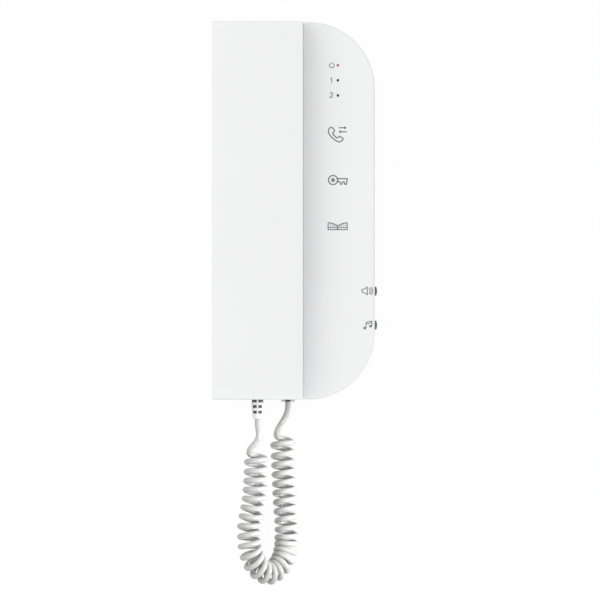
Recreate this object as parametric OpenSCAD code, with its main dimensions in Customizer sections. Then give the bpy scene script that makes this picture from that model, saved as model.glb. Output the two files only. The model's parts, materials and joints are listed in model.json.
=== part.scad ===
// Slimline wall phone: a wall unit with touch keys, and a lift-off handset on a curly cord.
// Each piece is drawn in the wall's own frame: x to the right, y up, z out from the wall.
// The origin is the centre of the two wall screws, on the wall.

/* [Wall unit] */
// Height of the wall unit and of the handset
unit_h = 216; // [206:1:226]
// Width of the wall unit
unit_w = 93; // [90:1:98]
// Distance from the wall to the unit's front behind the handset
cradle_d = 18; // [17:0.5:20]
// Distance from the wall to the front of the control panel
panel_d = 30; // [28:0.5:34]
// Radius of the two round corners of the control panel
corner_r = 38; // [30:1:42]
// Radius of the control panel's front edge
panel_edge_r = 1.2; // [0.8:0.1:2]
// Wall thickness of the cover
cover_t = 2; // [1.6:0.1:2.4]
// Thickness of the plate on the wall
plate_t = 2.4; // [2:0.1:3]

/* [Handset] */
// Width of the handset
handset_w = 51.8; // [48:0.2:54]
// Distance from the wall to the handset's front
handset_d = 46; // [44:0.5:50]
// Thickness of the handset's grip
grip_t = 18; // [16:0.5:20]
// Depth of the handset's front shell
front_shell_d = 12; // [9:0.5:14]
// Height of the ear end and of the mouth end
end_h = 48; // [46:1:52]
// Wall thickness of the handset
handset_t = 2; // [1.6:0.1:2.4]
// Rise of the handset's front from its edges to its middle
handset_crown = 1.2; // [0.4:0.1:2]
// Radius of the handset's long edges
handset_edge_r = 1.5; // [0.8:0.1:2.5]
// Radius of the finger gap's inner corners
finger_r = 4; // [2:0.5:6]

/* [Wall fixing] */
// Distance between the two wall screws
wall_hole_pitch = 83.5; // [70:0.5:90]
// Diameter of the wall screw holes
wall_hole_d = 4.5; // [3.5:0.1:5.5]
// Width of the cable window
cable_window_w = 24; // [16:1:26]
// Height of the cable window
cable_window_h = 56; // [30:1:60]
// Distance from the cable window's middle to the line of the wall screws
cable_window_shift = 16; // [15:0.5:20]

/* [Keys and lights] */
// Distance from the panel's middle to the line of keys and lights
key_shift = 0.65; // [0:0.05:2]
// Distance from the unit's top to the middle of the uppermost key
key_drop = 64.5; // [60:0.5:68]
// Distance from one key to the next
key_pitch = 26.2; // [24:0.1:28]
// Side of a touch pad
touch_pad_w = 12; // [9:0.5:13]
// Distance from the unit's top to the uppermost light
light_drop = 24.7; // [22:0.1:28]
// Distance from one light to the next
light_pitch = 8.65; // [7:0.05:9.5]
// Diameter of a light
light_d = 1.5; // [1:0.1:2.4]

/* [Side buttons] */
// Height of a side button's face
button_h = 5.2; // [4:0.1:6]
// Length of a side button's face, out from the wall
button_l = 9; // [7:0.5:10]
// How far a side button stands out of the side
button_out = 1.5; // [1.2:0.1:2]
// Travel of a side button
button_travel = 0.8; // [0.4:0.1:1]
// Distance from the lower round corner to the middle of the melody button
melody_rise = 4.5; // [4.5:0.5:8]
// Distance from one side button to the other
button_pitch = 19.5; // [16:0.5:24]

/* [Hook switch] */
// Diameter of the hook plunger
plunger_d = 6; // [5:0.5:7]
// Travel of the hook plunger
plunger_travel = 2.5; // [1:0.1:2.6]
// Distance from the finger gap to the middle of the hook plunger
plunger_drop = 8; // [6:0.5:10]

/* [Cord] */
// Diameter of the cord
cord_d = 3.8; // [3.4:0.1:4.2]
// Outer diameter of the curly part
coil_d = 14.5; // [13:0.5:16]
// Width of the plug
plug_w = 7.7; // [7.5:0.1:8]
// Length of the slotted strain relief below the handset
boot_h = 11; // [10.5:0.5:14]
// Diameter of the strain relief at the handset
boot_d = 7.3; // [6.8:0.1:8]

/* [Fits] */
// Gap between the handset's side and the control panel
handset_gap = 0.3; // [0.3:0.1:1]
// Gap between the handset's back and the cradle
seat_gap = 0.3; // [0.2:0.05:0.6]
// Gap between the wall plate and the cover round it
plate_gap = 0.3; // [0.2:0.1:0.5]
// Radial clearance of sliding pins and of screws in their holes
running_gap = 0.05; // [0.02:0.01:0.08]
// Clearance round parts that drop into a pocket
pocket_gap = 0.1; // [0.05:0.05:0.2]

/* [Hidden] */
$fn = 64;

// Outline of the wall unit
right = unit_w / 2;
left = -right;
top = unit_h / 2;
corner_x = right - corner_r;
corner_y = top - corner_r;
gap_y = top - end_h;
handset_right = left + handset_w;
handset_x = left + handset_w / 2;
panel_left = handset_right + handset_gap;
cradle_in = cradle_d - cover_t;
panel_in = panel_d - cover_t;
key_x = (panel_left + right) / 2 - key_shift;
call_key_y = top - key_drop;
door_key_y = call_key_y - key_pitch;
gate_key_y = door_key_y - key_pitch;
light_top_y = top - light_drop;
melody_y = melody_rise - corner_y;
volume_y = melody_y + button_pitch;
plunger_y = -gap_y - plunger_drop;
skirt_z = 0.4;
plate_inset = cover_t + plate_gap;
min_r = 0.2;

// How far a cut runs past a face, and how far a boss runs into its wall
over = 1;
bite = 0.5;

// Screws, bosses and posts
cable_window_x = -cable_window_shift;
screw_d = 2.4;
screw_head_d = 4.6;
screw_head_h = 1.6;
pilot_r = screw_d / 2 + running_gap;
post_r = 2.6;
cover_screw_inset = [8, 10];
cover_screw_points = [for (s = [-1, 1]) [left + cover_screw_inset.x, s * (top - cover_screw_inset.y)]];
cover_head_sink = 3.4;
cover_sink_r = screw_head_d / 2 + 0.6;
cover_head_z = cradle_d - cover_head_sink;
cover_boss_r = 5;
cover_boss_z = cover_head_z - cover_t;
plate_boss_r = 3.6;
snap_y = corner_y - 45;
snap_size = [1.6, 10, 8];
snap_barb_out = 0.8;
snap_barb_slope = 2;
snap_barb_h = 2.6;
snap_gap = 0.4;

// Main board, on the plate
board_stand = 2.6;
board_z = plate_t + board_stand;
board_t = 1.6;
board_top = board_z + board_t;
board_edge_gap = 4.5;
board_inset = cover_t + board_edge_gap;
board_left = panel_left + 2.4;
board_right = right - board_inset;
board_drop = 46;
board_up = top - board_drop;
foot_reach = 11.4;
foot_left = handset_x - foot_reach;
foot_up = plunger_y + 10;
board_hole_inset = 4;
board_hole_drop = 6;
board_points = [
    [board_left + board_hole_inset, board_up - board_hole_drop],
    [board_right - board_hole_inset, board_up - board_hole_drop],
    [board_right - board_hole_inset, (volume_y + melody_y) / 2],
    [foot_left + board_hole_inset, foot_up - board_hole_drop],
    [foot_left + board_hole_inset, board_inset + board_hole_drop - top]
];
terminal_size = [8, 30, 10];
terminal_x = panel_left + cover_t + 1.4;
terminal_pitch = 5;
terminal_ways = 6;
terminal_z = board_top + terminal_size.z;
terminal_mid = terminal_x + terminal_size.x / 2;
terminal_screw_r = 1.6;
terminal_screw_h = 3;
terminal_entry_r = 1.5;
terminal_entry_l = 5;
terminal_entry_z = 3;
terminal_slot = [3.2, 0.5, 0.8];
choke_r = 7;
choke_h = 9;
choke_inset = [13, 17];
choke_at = [board_right - choke_inset.x, board_up - choke_inset.y];
part_inset = 7;
capacitor_r = 4;
capacitor_h = 11;
chip_size = [10, 10, 1.4];

// Key board, behind the control panel
pad_t = 2.4;
key_board_top = panel_in - pad_t;
key_board_z = key_board_top - board_t;
key_board_edge_gap = 4.4;
key_board_left = panel_left + cover_t + key_board_edge_gap;
key_board_drop = 11;
key_board_down = gate_key_y - touch_pad_w / 2 - key_board_drop;
key_hole_inset = 4;
key_hole_rise = 8;
key_hole_drop = 10;
key_board_points = [
    [key_board_left + key_hole_inset, light_top_y + key_hole_rise],
    [board_right - key_hole_inset, corner_y - key_hole_drop],
    [key_board_left + key_hole_inset, key_board_down + key_hole_inset],
    [board_right - key_hole_inset, key_board_down + key_hole_inset]
];
key_screw_sink = 1;
light_r = light_d / 2;
light_base = [2, 2, 1];
link_size = [5, 12.7];
link_inset = 3;
link_at = [key_board_left + link_inset, (call_key_y + door_key_y) / 2];
link_pin = 0.64;
link_pitch = 2.54;
link_rows = 5;
link_split_z = (board_top + key_board_z) / 2;
link_pin_l = 6;
link_pocket = [3.6, 11.6];

// Parts of the main board below the link between the boards
chip_gap = 3;
chip_at = [board_right - part_inset, link_at.y - link_size.y / 2 - chip_gap - chip_size.y / 2];
terminal_gap = 9;
terminal_at_y = link_at.y - link_size.y / 2 - terminal_gap - terminal_size.y / 2;
capacitor_pitch = 11;
capacitor_top_y = chip_at.y - chip_size.y / 2 - capacitor_r - 1;
capacitor_points = [for (i = [0, 1]) [board_right - part_inset, capacitor_top_y - i * capacitor_pitch]];

// Ring sounder, behind slots that open into the finger gap
sounder_r = 13;
sounder_drop = 16;
sounder_shift = 3.4;
sounder_at = [handset_x - sounder_shift, gap_y - sounder_drop];
sounder_h = 5;
sounder_gasket_t = 1;
sounder_gasket_w = 2.5;
sounder_z = cradle_in - sounder_gasket_t - sounder_h;
sounder_slots = 5;
sounder_slot = [14, 1.6];
sounder_slot_pitch = 3.6;
sounder_wire_r = 0.8;
sounder_wire_drop = 2;
rib_t = 1.2;

// Magnets in the cradle and the steel discs that they hold in the handset
magnet_r = 4.5;
magnet_h = 3;
keeper_h = 2;
magnet_inset = [7.5, 7];
magnet_points = [
    for (x = [left + magnet_inset.x, handset_right - magnet_inset.x], s = [-1, 1])
        [x, s * (gap_y + magnet_inset.y)]
];

// Side buttons and their switches
button_rise = 6.4;
button_z = board_top + button_rise;
button_flange_t = 1.2;
button_flange_out = 1;
button_bow_r = (pow(button_h / 2, 2) + pow(button_out, 2)) / (2 * button_out);
button_stem_r = 1.5;
switch_size = [3.6, 6, 9.4];
switch_overhang = 0.6;
switch_x = board_right + switch_overhang;
switch_rest_l = 0.6;
switch_bore_l = switch_rest_l + button_travel + 1;

// Hook switch
plunger_r = plunger_d / 2;
plunger_foot_r = 2;
plunger_foot_gap = 2.4;
plunger_flange_r = plunger_r + 1.2;
plunger_flange_t = 1.2;
plunger_stop_gap = 0.3;
plunger_flange_z = cradle_in - plunger_travel - plunger_stop_gap - plunger_flange_t;
plunger_arm_l = 10;
plunger_arm_w = 3.2;
spring_r = 3.1;
spring_wire_r = 0.35;
spring_turns = 4;
spring_steps = 12;
hook_switch_size = [6.4, 11.8];
hook_switch_gap = 6.2;
hook_switch_y = plunger_y - hook_switch_gap - hook_switch_size.y;
hook_button_r = 0.8;
hook_button_y = plunger_y - plunger_arm_l + plunger_arm_w / 2;
hook_button_h = 0.5;
hook_button_gap = 0.3;
hook_button_z = plunger_flange_z - hook_button_gap;

// Socket and plug of the cord
plug_inset = 8.5;
plug_x = handset_right - plug_inset;
plug_h = 6.4;
plug_out = 1.5;
plug_l = 14;
plug_latch = [2.6, 10, 0.7];
jack_wall = 1.2;
jack_l = 14;
jack_side = 2;
jack_w = plug_w + 2 * pocket_gap + 2 * jack_side;
plug_z = board_top + jack_wall + pocket_gap + plug_h / 2;
jack_bottom = cover_t - top + plate_gap;
plug_window_gap = 0.4;

// Handset
handset_back = cradle_d + seat_gap;
grip_back = handset_d - grip_t;
seam_z = handset_d - front_shell_d;
crown_r = pow(handset_w, 2) / (8 * handset_crown) + handset_crown / 2;
handset_edge_x = handset_w / 2 - handset_edge_r;
handset_edge_z = handset_d - crown_r + sqrt(pow(crown_r - handset_edge_r, 2) - pow(handset_edge_x, 2));
handset_in = handset_d - handset_crown - handset_t;
handset_screw_inset = [6, 6];
handset_screw_points = [
    for (x = [left + handset_screw_inset.x, handset_right - handset_screw_inset.x], s = [-1, 1])
        [x, s * (top - handset_screw_inset.y)]
];
handset_boss_r = 3.6;
handset_sink_r = screw_head_d / 2 + 0.3;
handset_grip_l = 8;
handset_head_z = seam_z - handset_grip_l;
handset_screw_end = 1;
receiver_at = [handset_x, top - end_h / 2];
receiver_edge_gap = 4;
receiver_r = min(end_h, handset_w) / 2 - handset_t - receiver_edge_gap;
receiver_h = 9;
receiver_gasket_t = 1.5;
receiver_lip = 3;
receiver_z = handset_back + handset_t + receiver_gasket_t;
receiver_hole_r = 1.1;
receiver_hole_rings = [[0, 1], [4.5, 6], [9, 12]];
ear_dish_r = receiver_r - 2;
ear_dish_h = 0.8;
microphone_at = [handset_x, end_h / 2 - top];
microphone_r = 4.85;
microphone_h = 5.2;
microphone_holder_r = 6.6;
microphone_hole_r = 1;
microphone_lip = 0.8;
microphone_floor = 1.2;
microphone_z = handset_back + handset_t + microphone_floor;
handset_wire_r = 0.9;
handset_wire_step = 1.2;
handset_wire_shift = 12;
handset_wire_bend = 4;

// Strain relief at the handset
boot_r = boot_d / 2;
boot_tip_r = boot_r - 0.95;
boot_neck_r = boot_r - 0.35;
boot_collar_r = boot_r + 0.95;
boot_collar_h = 1.5;
boot_core_r = cord_d / 2 + 0.15;
boot_slots = 3;
boot_slot_h = 1.6;
boot_slot_pitch = 3.2;
boot_spine_w = 1;
boot_rail_x = boot_r - 1.15;

// The cord's route, from the plug to the curly part, round it, and on to the strain relief
cord_sides = 8;
coil_sides = 16;
cord_side_axis = [0.6, 0, 0.8];
base_end = [plug_x, -top - plug_out, plug_z];
handset_end = [handset_x, -top - boot_h, seam_z];
base_lead_steps = [
    [0, 0, 0], [0, -3.5, 0], [-1.8, -10.5, 0], [-4.8, -15.5, 0.5], [-7.4, -18.5, 1], [-7.4, -20.5, 1]
];
handset_lead_steps = [
    [0, 0, 0], [0, -4, 0], [0, -10, 0], [-2.4, -14, -1], [-5.1, -18, -2], [-5.1, -20, -2]
];
coil_right_steps = [
    [-3.2, -20.5, 1], [-3.2, -24.5, 1], [-2.8, -34.5, 1], [-1.8, -55.5, 1.5], [-0.8, -70.5, 2.5]
];
coil_left_steps = [
    [-4.6, -61, -3], [-2, -46, -2], [-0.9, -31, -2], [-0.7, -24, -2], [-0.7, -20, -2]
];
coil_bend_lead = [0, -8, 0];
coil_bend_drop = [0, -19, 0];
coil_bend_step = 15;

// Colours
white = [0.93, 0.93, 0.94];
board_green = [0.1, 0.35, 0.22];
terminal_green = [0.16, 0.55, 0.35];
steel = [0.75, 0.76, 0.78];
black = [0.1, 0.1, 0.11];
dark_grey = [0.25, 0.26, 0.28];
copper = [0.8, 0.5, 0.3];
foam_grey = [0.45, 0.46, 0.48];
cord_white = [0.9, 0.9, 0.91];

// Turns the wall's frame so that its z points along -Y of the part
module wall_frame() {
    rotate([90, 0, 0]) children();
}

// A box between two opposite corners
module box(a, b) {
    translate(a) cube(b - a);
}

// A box of the given size whose base is centred on a point
module block(at, z, size) {
    translate([at.x - size.x / 2, at.y - size.y / 2, z]) cube(size);
}

// A cylinder on a point, from one height to another
module post(at, z0, z1, r) {
    translate([at.x, at.y, z0]) cylinder(h = z1 - z0, r = r);
}

// A flat ring on a point
module ring(at, z0, z1, r_out, r_in) {
    translate([at.x, at.y, z0]) linear_extrude(z1 - z0) difference() {
        circle(r_out);
        circle(r_in);
    }
}

// A rib round a pocket of the given radius, with the pocket's clearance
module rib_ring(at, z0, z1, r) {
    ring(at, z0, z1, r + pocket_gap + rib_t, r + pocket_gap);
}

// A rectangle between two corners, with round corners
module round_area(a, b, r) {
    translate([a.x + r, a.y]) square([b.x - a.x - 2 * r, b.y - a.y]);
    translate([a.x, a.y + r]) square([b.x - a.x, b.y - a.y - 2 * r]);
    for (x = [a.x + r, b.x - r], y = [a.y + r, b.y - r]) translate([x, y]) circle(r);
}

// A rectangle from the origin whose far corner is round
module rim_area(w, h, r) {
    square([w, h - r]);
    square([w - r, h]);
    translate([w - r, h - r]) circle(r);
}

// The wall unit's outline, drawn in by inset
module unit_area(inset) {
    r = corner_r - inset;
    translate([left + inset, inset - top]) square([corner_x - left - inset, 2 * (top - inset)]);
    translate([corner_x - 1, -corner_y]) square([r + 1, 2 * corner_y]);
    for (s = [-1, 1]) translate([corner_x, s * corner_y]) circle(r);
}

// The control panel's rounded form, drawn in by inset, from z0 to its front
module panel_form(inset, z0) {
    r = corner_r - inset;
    h = panel_d - inset - z0;
    edge = max(panel_edge_r - inset, min_r);
    x0 = panel_left + inset;
    intersection() {
        translate([0, 0, z0]) union() {
            for (s = [0, 1]) mirror([0, s, 0]) {
                translate([corner_x, corner_y, 0]) rotate_extrude(angle = 90) rim_area(r, h, edge);
                translate([x0 - 2, 0, 0]) rotate([90, 0, 90])
                    linear_extrude(max(corner_x - x0 + 2, 0.1)) rim_area(top - inset, h, edge);
            }
            translate([corner_x, corner_y, 0]) rotate([90, 0, 0]) linear_extrude(2 * corner_y)
                rim_area(r, h, edge);
        }
        box([x0, -top, z0], [right, top, panel_d]);
    }
}

// Unit vector
function unit(v) = v / norm(v);

// Direction of a route at one of its points
function heading(p, i) = unit(p[min(i + 1, len(p) - 1)] - p[max(i - 1, 0)]);

// Points of one ring round a route
function ring_points(c, t, r, n) =
    let (side = unit(cross(t, cord_side_axis)), front = cross(side, t))
    [for (k = [0:n - 1]) c + r * (cos(360 * k / n) * side + sin(360 * k / n) * front)];

// A tube of n sides along a route
module tube(p, r, n) {
    last = len(p) - 1;
    points = [for (i = [0:last]) each ring_points(p[i], heading(p, i), r, n)];
    sides = [
        for (i = [0:last - 1], k = [0:n - 1])
            let (a = i * n + k, b = i * n + (k + 1) % n)
            each [[a, b, b + n], [a, b + n, a + n]]
    ];
    ends = [[for (k = [n - 1:-1:0]) k], [for (k = [0:n - 1]) last * n + k]];
    polyhedron(points = points, faces = concat(sides, ends));
}

// A pan-head screw whose head stands on z, with its shank towards -z
module screw(at, z, shank_l) {
    post(at, z - shank_l, z, screw_d / 2);
    post(at, z, z + screw_head_h, screw_head_d / 2);
}

// The same screw put in from behind, with its shank towards z
module rear_screw(at, z, shank_l) {
    translate([at.x, at.y, z]) mirror([0, 0, 1]) screw([0, 0], 0, shank_l);
}

// The plate that is screwed to the wall
module rear_plate() color(white) wall_frame() {
    difference() {
        union() {
            linear_extrude(plate_t) unit_area(plate_inset);
            for (p = board_points) post(p, 0, board_z, post_r);
            for (p = cover_screw_points) post(p, 0, cover_boss_z, plate_boss_r);
            for (s = [-1, 1]) snap_tab(s * snap_y);
        }
        block([cable_window_x, 0], -over, [cable_window_w, cable_window_h, plate_t + 2 * over]);
        for (s = [-1, 1]) post([0, s * wall_hole_pitch / 2], -over, plate_t + over, wall_hole_d / 2);
        for (p = board_points) post(p, plate_t / 2, board_z + over, pilot_r);
        for (p = cover_screw_points) post(p, plate_t / 2, cover_boss_z + over, pilot_r);
    }
}

// A springy tab of the plate whose barb catches in a window of the cover
module snap_tab(y) {
    x1 = right - plate_inset;
    box([x1 - snap_size.x, y - snap_size.y / 2, 0], [x1, y + snap_size.y / 2, snap_size.z]);
    translate([x1, y + snap_size.y / 2, snap_size.z]) rotate([90, 90, 0]) linear_extrude(snap_size.y)
        polygon([[0, 0], [snap_barb_slope, plate_gap + snap_barb_out], [snap_barb_h, 0]]);
}

// The cover: the control panel on the right and the cradle behind the handset
module base_cover() color(white) wall_frame() {
    difference() {
        union() {
            difference() {
                union() {
                    panel_form(0, skirt_z);
                    intersection() {
                        translate([0, 0, skirt_z]) linear_extrude(cradle_d - skirt_z) unit_area(0);
                        box([left, -top, 0], [panel_left + cover_t, top, cradle_d]);
                    }
                }
                panel_form(cover_t, 0);
                intersection() {
                    linear_extrude(cradle_in) unit_area(cover_t);
                    box([left, -top, -1], [panel_left + cover_t + 1, top, cradle_d]);
                }
            }
            for (p = cover_screw_points) post(p, cover_boss_z, cradle_in + bite, cover_boss_r);
            for (p = key_board_points) post(p, key_board_top, panel_in + bite, post_r);
            for (p = magnet_points) rib_ring(p, cradle_in - magnet_h + bite, cradle_in + bite, magnet_r);
            rib_ring(sounder_at, sounder_z + 1, cradle_in + bite, sounder_r);
        }
        for (p = cover_screw_points) {
            post(p, cover_head_z, cradle_d + over, cover_sink_r);
            post(p, cover_boss_z - over, cradle_d, pilot_r);
        }
        for (p = key_board_points) post(p, key_board_top - over, panel_in + key_screw_sink, pilot_r);
        for (i = [0:2]) post([key_x, light_y(i)], key_board_top, panel_d + over, light_r + running_gap);
        for (i = [0:sounder_slots - 1]) sounder_slot_at((i - (sounder_slots - 1) / 2) * sounder_slot_pitch);
        for (y = [volume_y, melody_y]) button_window(y);
        for (s = [-1, 1]) snap_window(s * snap_y);
        post([handset_x, plunger_y], cradle_in - over, cradle_d + over, plunger_r + running_gap);
        plug_window();
    }
}

// One slot of the ring sounder, through the cradle
module sounder_slot_at(dy) {
    size = [sounder_slot.x, sounder_slot.y, cover_t + 2 * over];
    block([sounder_at.x, sounder_at.y + dy], cradle_in - over, size);
}

// The window that a side button stands in
module button_window(y) {
    h = button_h / 2 + pocket_gap;
    l = button_l / 2 + pocket_gap;
    box([right - cover_t - over, y - h, button_z - l], [right + over, y + h, button_z + l]);
}

// The pocket that a snap tab's barb catches in
module snap_window(y) {
    h = snap_size.y / 2 + snap_gap;
    box([right - cover_t - over, y - h, snap_size.z - snap_barb_h - snap_gap],
        [right - cover_t + snap_barb_out + pocket_gap, y + h, snap_size.z + snap_gap]);
}

// The window for the cord's plug, in the bottom wall
module plug_window() {
    w = plug_w / 2 + plug_window_gap;
    h = plug_h / 2 + plug_window_gap;
    box([plug_x - w, -top - over, plug_z - h],
        [plug_x + w, cover_t - top + over, plug_z + h + plug_latch.z]);
}

// The two screws that hold the cover, behind the handset
module cover_screws() color(steel) wall_frame() {
    for (p = cover_screw_points) screw(p, cover_head_z, cover_head_z - plate_t);
}

// The main board's outline
module main_board_area() {
    intersection() {
        unit_area(board_inset);
        union() {
            translate([board_left, -top]) square([right - board_left, top + board_up]);
            translate([foot_left, -top]) square([board_left - foot_left + 1, top + foot_up]);
        }
    }
}

// The circuit board on the plate
module main_board() color(board_green) wall_frame() {
    difference() {
        translate([0, 0, board_z]) linear_extrude(board_t) main_board_area();
        for (p = board_points) post(p, board_z - over, board_top + over, pilot_r);
    }
}

// The main board's screws
module board_screws() color(steel) wall_frame() {
    for (p = board_points) screw(p, board_top, board_top - plate_t);
}

// Height of one way of the terminal block
function terminal_y(i) = terminal_at_y + (i - (terminal_ways - 1) / 2) * terminal_pitch;

// The terminals for the wires from the wall
module terminal_block() color(terminal_green) wall_frame() {
    hole_r = terminal_screw_r + running_gap;
    difference() {
        block([terminal_mid, terminal_at_y], board_top, terminal_size);
        for (i = [0:terminal_ways - 1]) {
            post([terminal_mid, terminal_y(i)], terminal_z - terminal_screw_h, terminal_z + over, hole_r);
            translate([terminal_x - over, terminal_y(i), board_top + terminal_entry_z]) rotate([0, 90, 0])
                cylinder(h = terminal_entry_l + over, r = terminal_entry_r);
        }
    }
}

// The terminal block's clamping screws
module terminal_screws() color(steel) wall_frame() {
    for (i = [0:terminal_ways - 1]) let (at = [terminal_mid, terminal_y(i)]) difference() {
        post(at, terminal_z - terminal_screw_h, terminal_z, terminal_screw_r);
        block(at, terminal_z - terminal_slot.z, [terminal_slot.x, terminal_slot.y, terminal_slot.z + over]);
    }
}

// The choke that keeps the speech off the supply
module line_choke() color(copper) wall_frame() {
    post(choke_at, board_top, board_top + choke_h, choke_r);
}

// The electrolytic capacitors
module filter_capacitors() color(dark_grey) wall_frame() {
    for (p = capacitor_points) post(p, board_top, board_top + capacitor_h, capacitor_r);
}

// The controller chip
module controller_chip() color(black) wall_frame() {
    block(chip_at, board_top, chip_size);
}

// The sounder that rings
module ring_sounder() color(black) wall_frame() {
    post(sounder_at, sounder_z, sounder_z + sounder_h, sounder_r);
}

// The foam ring between the sounder and the cover
module sounder_gasket() color(foam_grey) wall_frame() {
    ring(sounder_at, sounder_z + sounder_h, cradle_in, sounder_r, sounder_r - sounder_gasket_w);
}

// The sounder's wires, to the main board
module sounder_wires() color([0.7, 0.1, 0.1]) wall_frame() {
    at = sounder_at;
    d = sounder_wire_drop;
    x1 = board_left + 5 * d;
    y1 = board_up - d;
    z = sounder_z - d;
    tube([
        [at.x, at.y, sounder_z], [at.x, at.y, sounder_z - d / 2], [at.x + 2 * d, at.y + 2.5 * d, z],
        [at.x + 8 * d, y1, z], [x1 - d, y1, z], [x1, y1, z - 0.4 * d], [x1, y1, board_top]
    ], sounder_wire_r, cord_sides);
}

// The circuit board behind the keys and lights
module key_board() color(board_green) wall_frame() {
    difference() {
        translate([0, 0, key_board_z]) linear_extrude(board_t) intersection() {
            unit_area(board_inset);
            translate([key_board_left, key_board_down]) square([unit_w, unit_h]);
        }
        for (p = key_board_points) post(p, key_board_z - over, key_board_top + over, pilot_r);
    }
}

// The key board's screws, put in from behind
module key_board_screws() color(steel) wall_frame() {
    shank_l = board_t + pad_t + key_screw_sink / 2;
    for (p = key_board_points) rear_screw(p, key_board_z, shank_l);
}

// Offset of a pin of the link between the boards
function link_pin_at(i, j) = link_at + [(i - 0.5) * link_pitch, (j - (link_rows - 1) / 2) * link_pitch];

// The pin header on the main board
module link_header() color(black) wall_frame() {
    block(link_at, board_top, [link_size.x, link_size.y, link_split_z - board_top]);
    for (i = [0, 1], j = [0:link_rows - 1])
        block(link_pin_at(i, j), link_split_z - over, [link_pin, link_pin, link_pin_l + over]);
}

// The socket on the key board that the pins go into
module link_socket() color(black) wall_frame() {
    difference() {
        block(link_at, link_split_z, [link_size.x, link_size.y, key_board_z - link_split_z]);
        block(link_at, link_split_z - over, [link_pocket.x, link_pocket.y, link_pin_l + bite + over]);
    }
}

// One touch pad between the key board and the panel
module touch_pad(y) color(copper) wall_frame() {
    block([key_x, y], key_board_top, [touch_pad_w, touch_pad_w, pad_t]);
}

module call_touch_pad() touch_pad(call_key_y);
module door_touch_pad() touch_pad(door_key_y);
module gate_touch_pad() touch_pad(gate_key_y);

// Height of one light
function light_y(i) = light_top_y - i * light_pitch;

// One light: its chip and the clear rod to the panel's front
module light(i) wall_frame() {
    block([key_x, light_y(i)], key_board_top, light_base);
    post([key_x, light_y(i)], key_board_top, panel_d, light_r);
}

module power_light() color([0.9, 0.1, 0.1]) light(0);
module channel_1_light() color(black) light(1);
module channel_2_light() color(black) light(2);

// The switch behind a side button, with a bore for the button's stem
module side_switch(y) color(black) wall_frame() {
    difference() {
        block([switch_x - switch_size.x / 2, y], board_top, switch_size);
        translate([switch_x - switch_bore_l, y, button_z]) rotate([0, 90, 0])
            cylinder(h = switch_bore_l + over, r = button_stem_r + running_gap);
    }
}

module volume_switch() side_switch(volume_y);
module melody_switch() side_switch(melody_y);

// A side button: domed face, flange behind the cover's wall, and stem
module side_button(y) color(dark_grey) wall_frame() {
    flange_x = right - cover_t - running_gap;
    h = button_h / 2;
    l = button_l / 2;
    box([flange_x - bite, y - h, button_z - l], [right, y + h, button_z + l]);
    intersection() {
        post([right + button_out - button_bow_r, y], button_z - l, button_z + l, button_bow_r);
        box([right, y - h, button_z - l], [right + button_out, y + h, button_z + l]);
    }
    box([flange_x - button_flange_t, y - h - button_flange_out, button_z - l - button_flange_out],
        [flange_x, y + h + button_flange_out, button_z + l + button_flange_out]);
    translate([switch_x - switch_rest_l, y, button_z]) rotate([0, 90, 0])
        cylinder(h = flange_x - bite - switch_x + switch_rest_l, r = button_stem_r);
}

module volume_button() side_button(volume_y);
module melody_button() side_button(melody_y);

// The switch that the hook plunger works
module hook_switch() color(black) wall_frame() {
    w = hook_switch_size.x / 2;
    z1 = hook_button_z - hook_button_h;
    box([handset_x - w, hook_switch_y, board_top], [handset_x + w, hook_switch_y + hook_switch_size.y, z1]);
    post([handset_x, hook_button_y], z1 - bite, hook_button_z, hook_button_r);
}

// The plunger that the handset pushes in
module hook_plunger() color(dark_grey) wall_frame() {
    at = [handset_x, plunger_y];
    post(at, plunger_flange_z, cradle_d, plunger_r);
    post(at, plunger_flange_z, plunger_flange_z + plunger_flange_t, plunger_flange_r);
    post(at, board_top + plunger_foot_gap, plunger_flange_z + bite, plunger_foot_r);
    box([at.x - plunger_arm_w / 2, at.y - plunger_arm_l, plunger_flange_z],
        [at.x + plunger_arm_w / 2, at.y, plunger_flange_z + plunger_flange_t]);
}

// The plunger's return spring
module hook_spring() color(steel) wall_frame() {
    z0 = board_top + spring_wire_r;
    rise = plunger_flange_z - board_top - 2 * spring_wire_r;
    count = spring_turns * spring_steps;
    tube([
        for (i = [0:count])
            let (a = 360 * i / spring_steps)
            [handset_x + spring_r * cos(a), plunger_y + spring_r * sin(a), z0 + rise * i / count]
    ], spring_wire_r, cord_sides);
}

// The magnets under the cradle
module base_magnets() color(steel) wall_frame() {
    for (p = magnet_points) post(p, cradle_in - magnet_h, cradle_in, magnet_r);
}

// The socket for the cord's plug
module base_jack() color(black) wall_frame() {
    w = jack_w / 2;
    pocket_w = plug_w / 2 + pocket_gap;
    pocket_h = plug_h / 2 + pocket_gap;
    latch_w = plug_latch.x / 2 + 2 * pocket_gap;
    y0 = jack_bottom - over;
    y1 = plug_l - plug_out - top + pocket_gap;
    difference() {
        box([plug_x - w, jack_bottom, board_top],
            [plug_x + w, jack_bottom + jack_l, plug_z + pocket_h + jack_wall]);
        box([plug_x - pocket_w, y0, plug_z - pocket_h], [plug_x + pocket_w, y1, plug_z + pocket_h]);
        box([plug_x - latch_w, y0, plug_z], [plug_x + latch_w, y1, plug_z + pocket_h + plug_latch.z]);
    }
}

// The plug on the cord's wall end, with its latch
module base_plug() color(cord_white) wall_frame() {
    y0 = -top - plug_out;
    box([plug_x - plug_w / 2, y0, plug_z - plug_h / 2],
        [plug_x + plug_w / 2, y0 + plug_l, plug_z + plug_h / 2]);
    box([plug_x - plug_latch.x / 2, y0, plug_z],
        [plug_x + plug_latch.x / 2, y0 + plug_latch.y, plug_z + plug_h / 2 + plug_latch.z]);
}

// The cord from the plug to the curly part
module cord_lead_base() color(cord_white) wall_frame() {
    tube([for (p = base_lead_steps) base_end + p], cord_d / 2, cord_sides);
}

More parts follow.
